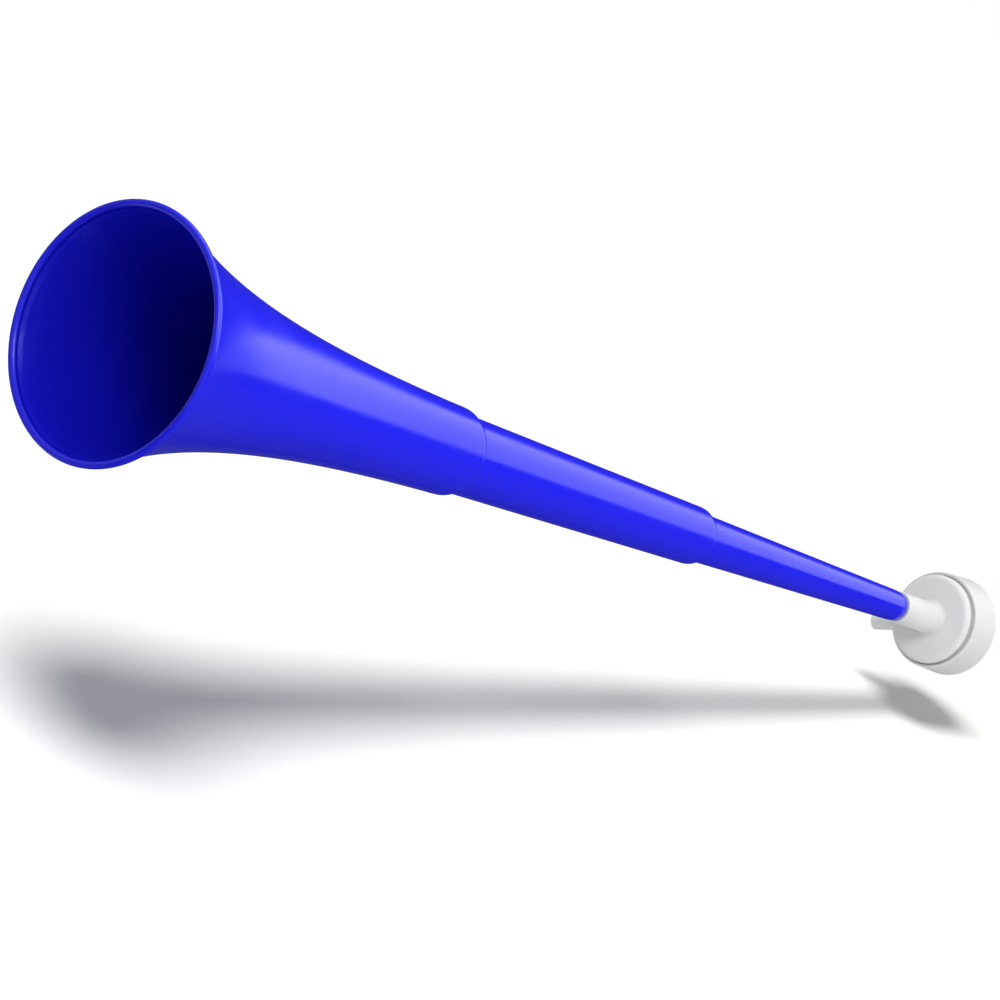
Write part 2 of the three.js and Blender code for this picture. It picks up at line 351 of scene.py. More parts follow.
neck_outline += arc(disc_edge_end, (groove_start, DISC_RADIUS - GROOVE_ROUND), False)[1:]
neck_outline += [(groove_start, DISC_RADIUS - GROOVE_DEPTH), (housing_front, DISC_RADIUS - GROOVE_DEPTH)]
neck_outline += [(housing_front + GROOVE_MARGIN, DISC_RADIUS)]
neck_outline += [(snap_station - SNAP_WIDTH / 2, DISC_RADIUS), (snap_station, DISC_RADIUS + SNAP_HEIGHT)]
neck_outline += [(snap_station + SNAP_WIDTH / 2, DISC_RADIUS), (skirt_end, DISC_RADIUS)]
neck_outline += [(skirt_end, DISC_RADIUS - SKIRT_WALL), (NECK_LENGTH + DISC_PLATE, DISC_RADIUS - SKIRT_WALL)]
neck_outline += [(NECK_LENGTH + DISC_PLATE, TUBE_RADIUS), (housing_front + LEDGE_END, TUBE_RADIUS)]
neck_outline += [(housing_front + LEDGE_END, AIR_RADIUS)]
neck_moulding = turned_piece("neck_moulding", neck_outline, neck_start)

# %% [markdown]
# ## The blow chamber
# The white housing turns on the disc's skirt, and its blow pipe sticks out on one side. Two turned solids,
# the housing and the pipe, are joined by a Boolean modifier, and a third one drills the pipe's bore.
# At the pipe's root a mould always leaves a fillet. The pipe's own outline flares out there, and each of its
# points then drops by as much as the round housing falls away beside the pipe, so that the flare lies on it.

# %% Housing outline
SOCKET_RADIUS = 25.2
CHAMBER_RADIUS = 23
HOUSING_LENGTH, HOUSING_WALL, HOUSING_DRAFT = 21.4, 1.8, 0.6
FRONT_ROUND, BACK_ROUND = 0.4, 0.8
SOCKET_DEPTH = 5.9
front_radius = SOCKET_RADIUS + HOUSING_WALL
back_radius = front_radius + HOUSING_DRAFT
groove_half = SNAP_WIDTH / 2 + GAP
snap = SKIRT_DEPTH / 2
housing_outline = [(0, SOCKET_RADIUS)]
housing_outline += arc((0, front_radius - FRONT_ROUND), (FRONT_ROUND, front_radius), True)
back_edge = (HOUSING_LENGTH - BACK_ROUND, back_radius)
housing_outline += arc(back_edge, (HOUSING_LENGTH, back_radius - BACK_ROUND), False)
housing_outline += [(HOUSING_LENGTH, SOCKET_RADIUS), (LEDGE_END, SOCKET_RADIUS), (LEDGE_END, CHAMBER_RADIUS)]
housing_outline += [(SOCKET_DEPTH, CHAMBER_RADIUS), (SOCKET_DEPTH, SOCKET_RADIUS)]
housing_outline += [(snap + groove_half, SOCKET_RADIUS), (snap, SOCKET_RADIUS + SNAP_HEIGHT)]
housing_outline += [(snap - groove_half, SOCKET_RADIUS)]
housing_mesh = lathe(with_holding_rings(soften(housing_outline)))
print("housing:", len(housing_mesh.polygons), "faces")

# %% The blow pipe, turned about its own line
PIPE_RADIUS, PIPE_BORE = 4.6, 3.6
PIPE_REACH, PIPE_TIP_ROUND, PIPE_ROOT = 45, 0.5, 1.3
PIPE_PLUG = 26.2
PIPE_DROOP = math.radians(32.5)
PIPE_STEPS = 96
ROOT_BLEND, BLEND_RINGS = 6, 5
pipe_station = (SOCKET_DEPTH + LEDGE_END) / 2


def housing_outer(station):
    share = (station - FRONT_ROUND) / (HOUSING_LENGTH - BACK_ROUND - FRONT_ROUND)
    return front_radius + (back_radius - front_radius) * share


root_radius = housing_outer(pipe_station)
root_end = root_radius + PIPE_ROOT
pipe_outline = [(PIPE_PLUG, 0), (PIPE_PLUG, PIPE_RADIUS + PIPE_ROOT)]
pipe_outline += arc((root_radius, PIPE_RADIUS + PIPE_ROOT), (root_end, PIPE_RADIUS), True)
for ring in range(1, BLEND_RINGS + 1):
    pipe_outline.append((root_end + ROOT_BLEND * ring / BLEND_RINGS, PIPE_RADIUS))
tip_round_start = (PIPE_REACH - PIPE_TIP_ROUND, PIPE_RADIUS)
pipe_outline += arc(tip_round_start, (PIPE_REACH, PIPE_RADIUS - PIPE_TIP_ROUND), False)
pipe_outline += [(PIPE_REACH, 0)]
pipe_mesh = lathe(pipe_outline, PIPE_STEPS)
pipe_mesh.transform(Matrix.Rotation(math.pi / 2, 4, "Z"))
for vertex in pipe_mesh.vertices:
    reach, beside = vertex.co.y / MM, vertex.co.z / MM
    surface = math.sqrt(housing_outer(pipe_station + vertex.co.x / MM) ** 2 - beside ** 2)
    hold = min(1, max(0, (root_end + ROOT_BLEND - reach) / ROOT_BLEND))
    vertex.co.y += (surface - root_radius) * hold * hold * (3 - 2 * hold) * MM
pipe_mesh.transform(Matrix.Translation((pipe_station * MM, 0, 0)))
print("the pipe stands at station", round(pipe_station, 2), "mm, on a radius of", round(root_radius, 2), "mm")

# %% Join the pipe to the housing and drill it
BORE_EDGE, DRILL_OVERRUN = 0.2, 2
drill_start, drill_end = CHAMBER_RADIUS - DRILL_OVERRUN, PIPE_REACH + DRILL_OVERRUN
bore_outline = [(drill_start, 0), (drill_start, PIPE_BORE), (PIPE_REACH - BORE_EDGE, PIPE_BORE)]
bore_outline += [(PIPE_REACH, PIPE_BORE + BORE_EDGE), (drill_end, PIPE_BORE + BORE_EDGE), (drill_end, 0)]
bore_mesh = lathe(bore_outline, PIPE_STEPS)
bore_mesh.transform(Matrix.Rotation(math.pi / 2, 4, "Z"))
bore_mesh.transform(Matrix.Translation((pipe_station * MM, 0, 0)))


def combine(base, tools):
    """Joins or cuts a mesh with others, one Boolean modifier each, and returns the result."""
    block = bpy.data.objects.new("block", base)
    bpy.context.scene.collection.objects.link(block)
    helpers = []
    for operation, mesh in tools:
        helper = bpy.data.objects.new("helper", mesh)
        bpy.context.scene.collection.objects.link(helper)
        helpers.append(helper)
        boolean = block.modifiers.new("cut", "BOOLEAN")
        boolean.operation, boolean.object, boolean.solver = operation, helper, "EXACT"
    ready = block.evaluated_get(bpy.context.evaluated_depsgraph_get())
    result = bpy.data.meshes.new_from_object(ready)
    for spare in [block, *helpers]:
        bpy.data.objects.remove(spare)
    return result


chamber_mesh = combine(housing_mesh, [("UNION", pipe_mesh), ("DIFFERENCE", bore_mesh)])
chamber_mesh.transform(Matrix.Rotation(-PIPE_DROOP, 4, "X"))
chamber_mesh.transform(Matrix.Translation((housing_start * MM, 0, 0)))
chamber_moulding = finished_object("chamber_moulding", chamber_mesh)

# %% [markdown]
# ## Membrane, ring and rear cap
# Behind the centre tube a thin film is stretched over the housing's inner shoulder, a ring clamps its edge,
# and a cap with vents is pushed in from the back, so that the film can move. The film shows only through the
# vents. It is a flat disc with shallow ripples and a low dome where it lies over the tube, because a
# perfectly flat disc would look like a lid. The cap is turned like the rest and drilled by Boolean cuts.

# %% Film and ring
CAP_RADIUS = 24.9
FILM_THICKNESS, FILM_SLACK, FILM_RINGS = 0.3, 0.05, 40
FILM_DOME, FILM_RIPPLE, RIPPLE_TURN = 0.09, 0.03, 1.9
RING_THICKNESS, RING_WIDTH = 1.5, 2.2


def film_height(radius):
    """How far the film stands out of its plane: a dome over the tube, and ripples that end at its edge."""
    dome = FILM_DOME * math.exp(-(radius / TUBE_RADIUS) ** 2)
    return dome + FILM_RIPPLE * math.sin(radius * RIPPLE_TURN) * (1 - (radius / CAP_RADIUS) ** 4)


film_radii = [CAP_RADIUS * ring / FILM_RINGS for ring in range(FILM_RINGS + 1)]
film_back = FILM_THICKNESS - FILM_DOME - FILM_RIPPLE
film_outline = [(FILM_SLACK + film_height(radius), radius) for radius in film_radii]
film_outline += [(film_back + film_height(radius), radius) for radius in reversed(film_radii)]
film_mesh = lathe(film_outline)
film_mesh.transform(Matrix.Translation((start_of("membrane") * MM, 0, 0)))
film_sheet = finished_object("film_sheet", film_mesh)

ring_outline = [(0, CAP_RADIUS - RING_WIDTH), (0, CAP_RADIUS)]
ring_outline += [(RING_THICKNESS, CAP_RADIUS), (RING_THICKNESS, CAP_RADIUS - RING_WIDTH)]
clamp_ring = turned_piece("clamp_ring", ring_outline, start_of("membrane_ring"))

# %% Rear cap with its vents
CAP_DEPTH, CAP_PLATE, CAP_EDGE_ROUND = 2.9, 1.6, 0.4
DISH_RADIUS, DISH_DEPTH = 18.43, 0.6
VENT_COUNT, VENT_RADIUS, VENT_CIRCLE, CENTRE_VENT = 6, 1.6, 11.45, 2.2
VENT_EDGE, VENT_STEPS = 0.2, 48
DRILL_FRONT, DRILL_BACK = -1, CAP_DEPTH + 1
dish_floor = CAP_DEPTH - DISH_DEPTH
cap_outline = [(CAP_DEPTH - CAP_PLATE, CENTRE_VENT), (CAP_DEPTH - CAP_PLATE, CAP_RADIUS - RING_WIDTH)]
cap_outline += [(0, CAP_RADIUS - RING_WIDTH), (0, CAP_RADIUS)]
cap_outline += arc((CAP_DEPTH - CAP_EDGE_ROUND, CAP_RADIUS), (CAP_DEPTH, CAP_RADIUS - CAP_EDGE_ROUND), False)
cap_outline += [(CAP_DEPTH, DISH_RADIUS), (dish_floor, DISH_RADIUS - DISH_DEPTH), (dish_floor, CENTRE_VENT)]
vent_outline = [(DRILL_FRONT, 0), (DRILL_FRONT, VENT_RADIUS), (dish_floor - VENT_EDGE, VENT_RADIUS)]
vent_outline += [(dish_floor, VENT_RADIUS + VENT_EDGE), (DRILL_BACK, VENT_RADIUS + VENT_EDGE)]
vent_outline += [(DRILL_BACK, 0)]
drills = []
for vent in range(VENT_COUNT):
    turn = 2 * math.pi * vent / VENT_COUNT
    across, height = VENT_CIRCLE * MM * math.cos(turn), VENT_CIRCLE * MM * math.sin(turn)
    drill = lathe(vent_outline, VENT_STEPS)
    drill.transform(Matrix.Translation((0, across, height)))
    drills.append(("DIFFERENCE", drill))
cap_mesh = combine(lathe(with_holding_rings(soften(cap_outline))), drills)
cap_mesh.transform(Matrix.Rotation(-PIPE_DROOP, 4, "X"))
cap_mesh.transform(Matrix.Translation((start_of("rear_cap") * MM, 0, 0)))
cap_moulding = finished_object("cap_moulding", cap_mesh)

# %% [markdown]
# ## What each piece rides on
# The CAD model says which pieces move together. Each new piece rides on the body of the node that it stands
# for, takes that node's place, and names the material slot that it is finished in.

# %% Bodies, nodes and slots
PLACES = [
    (bell_shell, "bell", "bell_section", "blue_plastic"),
    (middle_tube, "middle", "middle_section", "blue_plastic"),
    (narrow_tube, "narrow", "narrow_section", "blue_plastic"),
    (neck_moulding, "neck", "mouthpiece_neck", "white_plastic"),
    (chamber_moulding, "chamber", "blow_chamber", "white_plastic"),
    (film_sheet, "chamber", "membrane", "film"),
    (clamp_ring, "chamber", "membrane_ring", "white_plastic"),
    (cap_moulding, "cap", "rear_cap", "white_plastic"),
]
for made, body, node, slot in PLACES:
    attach(made, body)
    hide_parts(node)
print("placed:", ", ".join(made.name for made, *_ in PLACES))

# %% [markdown]
# ## Finishes
# Moulded plastic looks like one flat colour, and yet a flat colour looks false. Four things make it real: the
# pigment flows in faint long streaks, the gloss isn't quite even, handling and sliding leave fine scratches
# along the tube, and the skin has a faint orange peel that bends reflections a little. All four come from
# noise textures in the piece's own coordinates, so they stay with the piece when it moves.
# The inside of a tube gets the same finish painted darker, as painted shade that keeps the inside deep. The
# shader finds the inside by its normal, which points towards the horn's axis there.
# A little light enters white plastic and comes out nearby, so its shaded side stays soft. White plastic also
# gets painted shade in its grooves and inner corners: a grey mixed into its colour where Blender's Ambient
# Occlusion node says that a point sees little of its surroundings.
# Image textures could do the same, but noise needs no files and has no seam round a turned piece.

# %% A plastic finish
def noise(nodes, links, coordinates, scale, stretch, detail):
    """Noise of about 1/scale metres, drawn out along the horn's axis by the stretch."""
    mapping = nodes.new("ShaderNodeMapping")
    mapping.inputs["Scale"].default_value = (1 / stretch, 1, 1)
    texture = nodes.new("ShaderNodeTexNoise")
    texture.inputs["Scale"].default_value = scale
    texture.inputs["Detail"].default_value = detail
    links.new(coordinates, mapping.inputs["Vector"])
    links.new(mapping.outputs["Vector"], texture.inputs["Vector"])
    return texture.outputs["Fac"]


def spread(nodes, links, value, low, high, new_low, new_high):
    """Maps a span of a texture's values to another span, clamped."""
    ranged = nodes.new("ShaderNodeMapRange")
    ends = {"From Min": low, "From Max": high, "To Min": new_low, "To Max": new_high}
    for socket, end in ends.items():
        ranged.inputs[socket].default_value = end
    links.new(value, ranged.inputs["Value"])
    return ranged.outputs["Result"]


def mixed(nodes, links, share, first, second):
    """A colour between two, by a share. Each is a colour or the output of a node."""
    mix = nodes.new("ShaderNodeMix")
    mix.data_type = "RGBA"
    links.new(share, mix.inputs["Factor"])
    for socket, colour in (("A", first), ("B", second)):
        target = [s for s in mix.inputs if s.name == socket and s.type == "RGBA"][0]
        if isinstance(colour, tuple):
            target.default_value = (*colour, 1)
        else:
            links.new(colour, target)
    return [s for s in mix.outputs if s.type == "RGBA"][0]


def maths(nodes, links, operation, *values):
    """A sum on one or two values. Each is a number or the output of a node."""
    result = nodes.new("ShaderNodeMath")
    result.operation = operation
    for socket, value in zip(result.inputs, values):
        if isinstance(value, (int, float)):
            socket.default_value = value
        else:
            links.new(value, socket)
    return result.outputs["Value"]


def vector_maths(nodes, links, operation, *values):
    """A sum on one or two vectors. Each is a tuple or the output of a node."""
    result = nodes.new("ShaderNodeVectorMath")
    result.operation = operation
    for socket, value in zip(result.inputs, values):
        if isinstance(value, tuple):
            socket.default_value = value
        else:
            links.new(value, socket)
    return result


# Each noise has a scale, a stretch and a detail. Its span is the part of its values that counts.
SHEEN_LEVEL = 0.3
STREAK_NOISE, STREAK_SPAN = (45, 6, 3), (0.3, 0.7)
GLOSS_NOISE, GLOSS_SPAN = (60, 2, 4), (0.35, 0.65)
SCRATCH_NOISE, SCRATCH_SPAN, SCRATCH_DULLS = (1500, 60, 2), (0.6, 0.8), 0.04
PEEL_NOISE, PEEL_STRENGTH = (650, 1, 2), 0.5
EDGE_SPAN, EDGE_WEAR = (0.52, 0.62), 0.3
# Painted shade: faces turned towards the horn's axis get a darker inside colour.
SHADED_INSIDE_SPAN = (-0.95, -0.85)
# Painted shade: a grey mixed into the colour in grooves and inner corners that see little of the room.
HOLLOW_SHADE, HOLLOW_SHADE_REACH, HOLLOW_SHADE_SAMPLES = (0.3, 0.3, 0.29), 6 * MM, 16
HOLLOW_SHADE_SPAN, HOLLOW_SHADE_SHARE = (0.5, 0.9), 0.36


def shaded_in_hollows(nodes, links, colour):
    """The colour with painted shade in its grooves and inner corners: a grey mixed in where a point sees
    little.
    """
    sees = nodes.new("ShaderNodeAmbientOcclusion")
    sees.samples = HOLLOW_SHADE_SAMPLES
    sees.inputs["Distance"].default_value = HOLLOW_SHADE_REACH
    share = spread(nodes, links, sees.outputs["AO"], *HOLLOW_SHADE_SPAN, HOLLOW_SHADE_SHARE, 0)
    return mixed(nodes, links, share, colour, HOLLOW_SHADE)


def plastic(name, deep, pale, worn, inside, gloss, peel, depth):
    """Moulded plastic: two near colours for its streaks, then those of worn edges and of the painted shade
    inside.

    The gloss is a span of roughness, the peel the height of the orange peel, and the depth how far light
    goes in. Only plastic that lets light in is white here, so only that gets painted shade in its grooves.
    """
    material = bpy.data.materials.new(name)
    material.use_nodes = True
    nodes, links = material.node_tree.nodes, material.node_tree.links
    shader = nodes["Principled BSDF"]
    shader.inputs["Specular IOR Level"].default_value = SHEEN_LEVEL
    shader.inputs["Subsurface Weight"].default_value = min(1, depth / MM)
    shader.inputs["Subsurface Scale"].default_value = depth
    shader.inputs["Subsurface Radius"].default_value = (1, 1, 1)
    place = nodes.new("ShaderNodeTexCoord")
    here = place.outputs["Object"]
    streaks = spread(nodes, links, noise(nodes, links, here, *STREAK_NOISE), *STREAK_SPAN, 0, 1)
    colour = mixed(nodes, links, streaks, deep, pale)
    edges = nodes.new("ShaderNodeNewGeometry").outputs["Pointiness"]
    rubbed = spread(nodes, links, edges, *EDGE_SPAN, 0, EDGE_WEAR)
    colour = mixed(nodes, links, rubbed, colour, worn)
    outwards = vector_maths(nodes, links, "MULTIPLY", here, (0, 1, 1)).outputs["Vector"]
    outwards = vector_maths(nodes, links, "NORMALIZE", outwards).outputs["Vector"]
    facing = vector_maths(nodes, links, "DOT_PRODUCT", place.outputs["Normal"], outwards).outputs["Value"]
    # White plastic gets painted shade, a grey in its grooves and inner corners, from the Ambient Occlusion
    # node.
    if depth:
        colour = shaded_in_hollows(nodes, links, colour)
    # Painted shade: faces turned towards the horn's axis take the darker inside colour.
    shaded_inner = spread(nodes, links, facing, *SHADED_INSIDE_SPAN, 1, 0)
    links.new(mixed(nodes, links, shaded_inner, colour, inside), shader.inputs["Base Color"])
    uneven = spread(nodes, links, noise(nodes, links, here, *GLOSS_NOISE), *GLOSS_SPAN, *gloss)
    scratches = noise(nodes, links, here, *SCRATCH_NOISE)
    scratches = spread(nodes, links, scratches, *SCRATCH_SPAN, 0, SCRATCH_DULLS)
    links.new(maths(nodes, links, "ADD", uneven, scratches), shader.inputs["Roughness"])
    skin = noise(nodes, links, here, *PEEL_NOISE)
    bump = nodes.new("ShaderNodeBump")
    bump.inputs["Distance"].default_value = peel
    bump.inputs["Strength"].default_value = PEEL_STRENGTH
    links.new(skin, bump.inputs["Height"])
    links.new(bump.outputs["Normal"], shader.inputs["Normal"])
    return material


print("fine scratches are about", round(1 / SCRATCH_NOISE[0] / MM, 1), "mm wide")

# %% Blue and white plastic
BLUE_DEEP, BLUE_PALE, BLUE_WORN = (0.0135, 0.0145, 0.87), (0.016, 0.017, 0.91), (0.04, 0.04, 0.93)
# The inside colours are painted shade: the same plastic, darker where it faces the horn's axis.
BLUE_SHADED_INSIDE, BLUE_GLOSS = (0.007, 0.0075, 0.54), (0.17, 0.22)
WHITE_DEEP, WHITE_PALE, WHITE_WORN = (0.8, 0.8, 0.8), (0.82, 0.82, 0.82), (0.85, 0.85, 0.85)
WHITE_SHADED_INSIDE, WHITE_GLOSS = (0.76, 0.76, 0.76), (0.34, 0.42)
BLUE_PEEL, WHITE_PEEL = 0.01 * MM, 0.02 * MM
BLUE_DEPTH, WHITE_DEPTH = 0, 1.5 * MM
blues = (BLUE_DEEP, BLUE_PALE, BLUE_WORN, BLUE_SHADED_INSIDE)
whites = (WHITE_DEEP, WHITE_PALE, WHITE_WORN, WHITE_SHADED_INSIDE)
blue_plastic = plastic("blue_plastic", *blues, BLUE_GLOSS, BLUE_PEEL, BLUE_DEPTH)
white_plastic = plastic("white_plastic", *whites, WHITE_GLOSS, WHITE_PEEL, WHITE_DEPTH)
print("finishes:", blue_plastic.name, white_plastic.name)

# %% [markdown]
# The film is a different stuff: thin, milky and a little see-through, with fine creases that run outwards
# from being stretched. Some light passes through it, which the shader's transmission gives.

# %% The film's finish
FILM_DEEP, FILM_PALE, FILM_GLOSS = (0.76, 0.76, 0.74), (0.8, 0.8, 0.79), (0.18, 0.3)
FILM_PASSES, FILM_IOR = 0.25, 1.45
CLOUD_NOISE, CLOUD_SPAN = (220, 1, 3), (0.3, 0.7)
CREASE_NOISE, CREASE_HEIGHT, CREASE_STRENGTH = (900, 0.2, 2), 0.03 * MM, 0.4


def milky_film():
    """Thin cloudy film with fine creases, which lets part of the light through."""
    material = bpy.data.materials.new("milky_film")
    material.use_nodes = True
    nodes, links = material.node_tree.nodes, material.node_tree.links
    shader = nodes["Principled BSDF"]
    shader.inputs["Transmission Weight"].default_value = FILM_PASSES
    shader.inputs["IOR"].default_value = FILM_IOR
    here = nodes.new("ShaderNodeTexCoord").outputs["Object"]
    cloudy = spread(nodes, links, noise(nodes, links, here, *CLOUD_NOISE), *CLOUD_SPAN, 0, 1)
    tint = mixed(nodes, links, cloudy, FILM_DEEP, FILM_PALE)
    links.new(tint, shader.inputs["Base Color"])
    links.new(spread(nodes, links, cloudy, 0, 1, *FILM_GLOSS), shader.inputs["Roughness"])
    crease = noise(nodes, links, here, *CREASE_NOISE)
    bump = nodes.new("ShaderNodeBump")
    bump.inputs["Distance"].default_value = CREASE_HEIGHT
    bump.inputs["Strength"].default_value = CREASE_STRENGTH
    links.new(crease, bump.inputs["Height"])
    links.new(bump.outputs["Normal"], shader.inputs["Normal"])
    return material


FINISHES = {"blue_plastic": blue_plastic, "white_plastic": white_plastic, "film": milky_film()}
for made, _, _, slot in PLACES:
    made.data.materials.clear()
    made.data.materials.append(FINISHES[slot])
    print(made.name, "is finished in", FINISHES[slot].name)

# %% [markdown]
# ## The camera
# The photograph was taken through a long lens, from in front of the bell and a little above, with the camera
# rolled so that the horn runs down to the right. A camera that is aimed with a Track To constraint can't
# roll, so its three directions are written out: right, up, and back towards the photographer.

# %% Place the camera
CAMERA_PLACE = Vector((-1.7891, -1.2863, 0.4018))
CAMERA_RIGHT = Vector((0.58312, -0.6108, 0.5357)).normalized()
CAMERA_UP = Vector((-0.19779, 0.5328, 0.8228)).normalized()
CAMERA_LENS, SENSOR_WIDTH = 162.92, 36
camera_back = CAMERA_RIGHT.cross(CAMERA_UP).normalized()
camera_up = camera_back.cross(CAMERA_RIGHT)
lens = bpy.data.cameras.new("camera")
lens.lens, lens.sensor_width = CAMERA_LENS, SENSOR_WIDTH
camera = bpy.data.objects.new("camera", lens)
bpy.context.scene.collection.objects.link(camera)
turned = Matrix((CAMERA_RIGHT, camera_up, camera_back)).transposed().to_4x4()
camera.matrix_world = Matrix.Translation(CAMERA_PLACE) @ turned
bpy.context.scene.camera = camera
print("the camera is", round(CAMERA_PLACE.length, 2), "m from the horn's middle")

# %% [markdown]
# ## Floor and surroundings
# In the photograph the horn floats above a white floor and dips towards its mouthpiece. In this scene the
# horn's axis is level, so that floor is a ramp: deep under the bell, and close under the mouthpiece, where
# the shadow comes near the horn. Behind the mouthpiece it bends level, so that it hides nothing from there.
# The bend doesn't show, because the floor is white all over.

# %% Floor
FLOOR_HALF = 6
RAMP_SLOPE, RAMP_HEIGHT = 0.235, -0.148
BEND_START, BEND_LENGTH, BEND_STEPS = 0.375, 0.06, 8


def floor_height(x):
    """Height of the floor: a ramp that bends level behind the mouthpiece."""
    bent = min(max(x - BEND_START, 0), BEND_LENGTH)
    return RAMP_HEIGHT + RAMP_SLOPE * (min(x, BEND_START) + bent - bent * bent / (2 * BEND_LENGTH))


stations = [BEND_START + BEND_LENGTH * step / BEND_STEPS for step in range(BEND_STEPS + 1)]
stations = [-FLOOR_HALF, *stations, FLOOR_HALF]
corners = [(x, y, floor_height(x)) for x in stations for y in (-FLOOR_HALF, FLOOR_HALF)]
strips = [(2 * step, 2 * step + 2, 2 * step + 3, 2 * step + 1) for step in range(len(stations) - 1)]
floor_mesh = bpy.data.meshes.new("floor")
floor_mesh.from_pydata(corners, [], strips)
floor = bpy.data.objects.new("floor", floor_mesh)
bpy.context.scene.collection.objects.link(floor)
for place in (bell_start, end_of("rear_cap")):
    depth = -floor_height(place * MM) / MM
    print("the floor lies", round(depth), "mm below the horn's axis at", round(place))

# %% [markdown]
# To the camera the floor and the world are plain white. To the light that bounces between surfaces the floor
# is a darker grey, because a bright floor would wash out the shade under the horn, and darker still before
# the bell, so that the bell's inside stays deep. Glossy rays see it nearly black, but for one white card,
# which the rim mirrors. The Light Path node tells these rays apart.

# %% The floor's paint
FLOOR_SEEN = (0.645, 0.645, 0.635)
FLOOR_BOUNCE, FLOOR_BEFORE_BELL = 0.47, 0.15
FLOOR_MIRRORED, CARD_MIRRORED = 0.04, 0.64
BEFORE_BELL = (-0.7, -0.3)
CARD_NEAR, CARD_FAR, CARD_SIDE = (-0.8, -0.65), (-0.35, -0.15), (0.05, 0.15)
floor_paint = bpy.data.materials.new("floor_paint")
floor_paint.use_nodes = True
nodes, links = floor_paint.node_tree.nodes, floor_paint.node_tree.links
matt = nodes.new("ShaderNodeBsdfDiffuse")
path = nodes.new("ShaderNodeLightPath")
split = nodes.new("ShaderNodeSeparateXYZ")
links.new(nodes.new("ShaderNodeNewGeometry").outputs["Position"], split.inputs["Vector"])
floor_x, floor_y = split.outputs["X"], split.outputs["Y"]
before_bell = spread(nodes, links, floor_x, *BEFORE_BELL, 1, 0)
bounced = mixed(nodes, links, before_bell, (FLOOR_BOUNCE,) * 3, (FLOOR_BEFORE_BELL,) * 3)
near_end = spread(nodes, links, floor_x, *CARD_NEAR, 0, 1)
far_end = spread(nodes, links, floor_x, *CARD_FAR, 1, 0)
card = maths(nodes, links, "MULTIPLY", near_end, far_end)
card = maths(nodes, links, "MULTIPLY", card, spread(nodes, links, floor_y, *CARD_SIDE, 0, 1))
mirrored = mixed(nodes, links, card, (FLOOR_MIRRORED,) * 3, (CARD_MIRRORED,) * 3)
bounced = mixed(nodes, links, path.outputs["Is Glossy Ray"], bounced, mirrored)
links.new(mixed(nodes, links, path.outputs["Is Camera Ray"], bounced, FLOOR_SEEN), matt.inputs["Color"])
links.new(matt.outputs["BSDF"], nodes["Material Output"].inputs["Surface"])
floor_mesh.materials.append(floor_paint)
print("the floor reflects", FLOOR_SEEN[0], "of the light to the camera and", FLOOR_BOUNCE, "to the horn")

# %% [markdown]
# A shiny thing looks like what it mirrors. All along the tubes the camera sees the mirror image of what is
# beyond the mouthpiece, so that side of the room decides how the horn looks. It is dark here, as with a
# photographer's black card, which keeps the tube's edges deep blue, and a bright ceiling strip runs through
# it, which draws the pale band along the top. Lamps of that shape would do too, but near the bell the band
# comes from so far away that only a world has room for it. Each direction is told by how far it points along
# the horn, from -1 to 1, and by its turn round the horn.

# %% World
AMBIENT, AMBIENT_BEFORE_BELL, AMBIENT_LEAN = 0.62, 0.24, 0.5
STRIP_START, STRIP_END, STRIP_EDGE, STRIP_SOFT_EDGE, STRIP_SLANT = 33, 123, 2, 5, 16
STRIP_GLOW, DARK_END, LIGHT_END, FAR_END = 2.2, 0.025, 0.7, 0.2
STRIP_FADE, STRIP_TAPER = (-0.2, 0.1), (0.8, 0.96)
LIGHT_FADE, FAR_FADE, AMBIENT_FADE = (-0.1, 0.55), (0.93, 0.985), (0.4, 0.9)
world = bpy.data.worlds.new("white_room")
world.use_nodes = True
bpy.context.scene.world = world
nodes, links = world.node_tree.nodes, world.node_tree.links
split = nodes.new("ShaderNodeSeparateXYZ")
links.new(nodes.new("ShaderNodeTexCoord").outputs["Generated"], split.inputs["Vector"])
along, across, height = split.outputs
turn = maths(nodes, links, "ARCTAN2", height, maths(nodes, links, "MULTIPLY", across, -1))
rise = [math.radians(STRIP_START + side * STRIP_EDGE) for side in (-1, 1)]
fall = [math.radians(STRIP_END + side * STRIP_SOFT_EDGE) for side in (-1, 1)]
slant = spread(nodes, links, along, *STRIP_TAPER, 0, math.radians(STRIP_SLANT))
slanted = maths(nodes, links, "ADD", turn, slant)
begun, ended = spread(nodes, links, turn, *rise, 0, 1), spread(nodes, links, slanted, *fall, 1, 0)
strip = maths(nodes, links, "MULTIPLY", begun, ended)
strip = maths(nodes, links, "MULTIPLY", strip, spread(nodes, links, along, *STRIP_FADE, 0, STRIP_GLOW))
room = spread(nodes, links, along, *LIGHT_FADE, LIGHT_END, DARK_END)
mirrored = maths(nodes, links, "ADD", room, strip)
mirrored = maths(nodes, links, "MULTIPLY", mirrored, spread(nodes, links, along, *FAR_FADE, 1, FAR_END))
path = nodes.new("ShaderNodeLightPath")
plain = maths(nodes, links, "ADD", path.outputs["Is Camera Ray"], path.outputs["Is Transmission Ray"])
glossy = path.outputs["Is Glossy Ray"]
others = maths(nodes, links, "SUBTRACT", maths(nodes, links, "SUBTRACT", 1, plain), glossy)
away = maths(nodes, links, "SUBTRACT", maths(nodes, links, "MULTIPLY", across, AMBIENT_LEAN), along)
ambient = spread(nodes, links, away, *AMBIENT_FADE, AMBIENT, AMBIENT_BEFORE_BELL)
ambient = maths(nodes, links, "MULTIPLY", others, ambient)
strength = maths(nodes, links, "ADD", plain, maths(nodes, links, "MULTIPLY", glossy, mirrored))
links.new(maths(nodes, links, "ADD", strength, ambient), nodes["Background"].inputs["Strength"])
nodes["Background"].inputs["Color"].default_value = (1, 1, 1, 1)
print("the ceiling strip spans", STRIP_END - STRIP_START, "degrees round the horn")

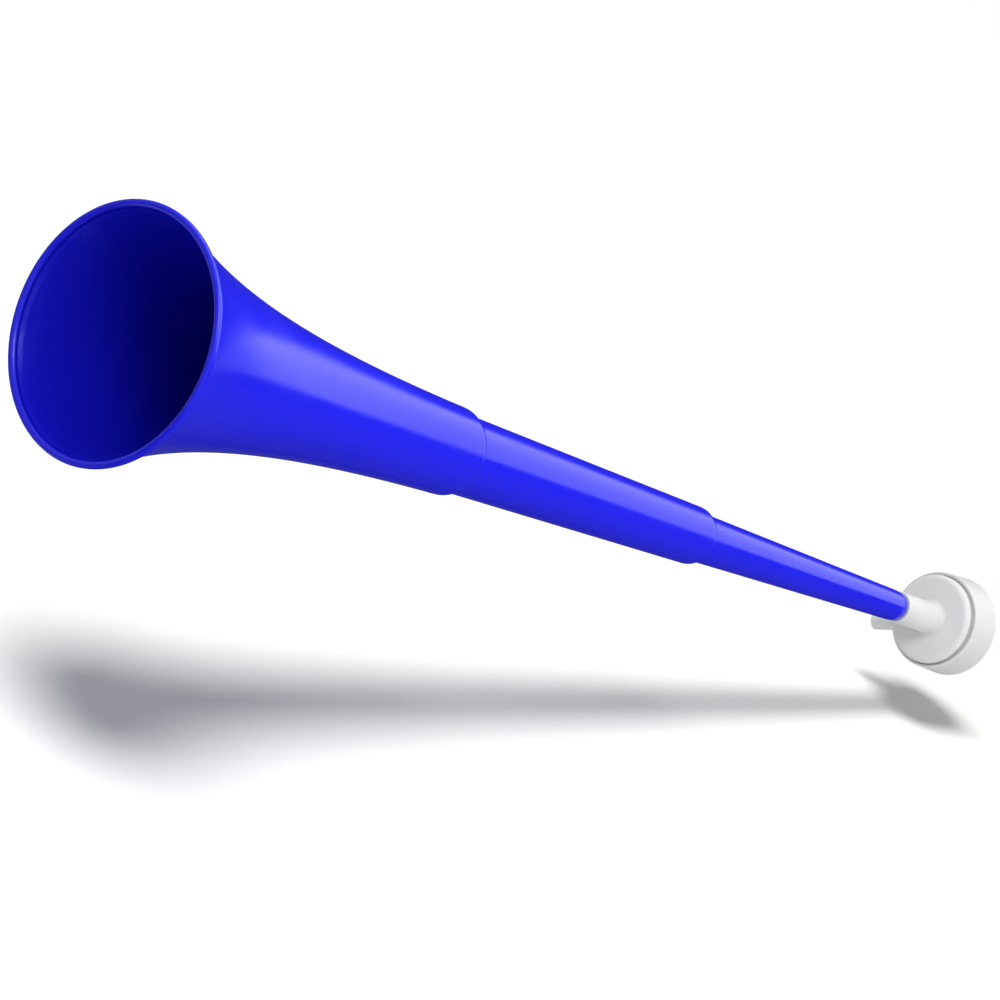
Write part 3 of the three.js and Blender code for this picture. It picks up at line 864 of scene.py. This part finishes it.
# %% [markdown]
# ## Lights
# A large softbox stands a good metre from the horn's middle, in front of it and above, and a weaker one
# behind it. From there they can't shine deep into the bell, so the inside stays dark. A third one stands
# beyond the bell: it lights the rim's land, the near side of the inside and the white disc's face, and shows
# as bright lines in the rim's roundings. A sun falls only on the floor, through light linking, so that the
# shadow's place and depth can be set freely without changing the light on the horn.

# %% Lamps
def lamp_at(name, kind, direction, mirrored):
    """A lamp of a kind that shines on the horn's middle from a direction."""
    lamp = bpy.data.objects.new(name, bpy.data.lights.new(name, kind))
    lamp.visible_glossy, lamp.visible_camera = mirrored, False
    lamp.rotation_mode = "QUATERNION"
    lamp.rotation_quaternion = direction.to_track_quat("Z", "Y")
    bpy.context.scene.collection.objects.link(lamp)
    return lamp


def floor_link(lamp, state):
    """Lets a lamp light the floor alone, or everything but the floor."""
    group = bpy.data.collections.new(lamp.name + "_floor")
    group.objects.link(floor)
    group.collection_objects[0].light_linking.link_state = state
    lamp.light_linking.receiver_collection = group


def softbox(name, place, size, share):
    """A square lamp at a place. A white card at the horn's middle that faces it gets this share of white."""
    lamp = lamp_at(name, "AREA", place, True)
    lamp.location = place
    lamp.data.shape, lamp.data.size = "SQUARE", size
    lamp.data.energy = share * math.pi ** 2 * place.length_squared
    floor_link(lamp, "EXCLUDE")
    return lamp


main_softbox = softbox("main_softbox", Vector((-0.1, -0.64, 1.02)), size=0.8, share=0.38)
back_softbox = softbox("back_softbox", Vector((0.1, 0.6, 1.05)), size=0.8, share=0.2)
bell_softbox = softbox("bell_softbox", Vector((-1.0, -0.66, 0.93)), size=0.55, share=0.28)

SHADOW_FROM, SHADOW_STRENGTH, SHADOW_SOFTNESS = Vector((-0.685, -0.174, 0.708)), 4.6, 17
shadow_sun = lamp_at("shadow_sun", "SUN", SHADOW_FROM, False)
shadow_sun.data.energy, shadow_sun.data.angle = SHADOW_STRENGTH, math.radians(SHADOW_SOFTNESS)
floor_link(shadow_sun, "INCLUDE")
print("lamps:", main_softbox.name, back_softbox.name, bell_softbox.name, shadow_sun.name)

# %% [markdown]
# ## Colour
# Standard view keeps a colour as it is written.

# %% Finish
bpy.context.scene.view_settings.view_transform = "Standard"
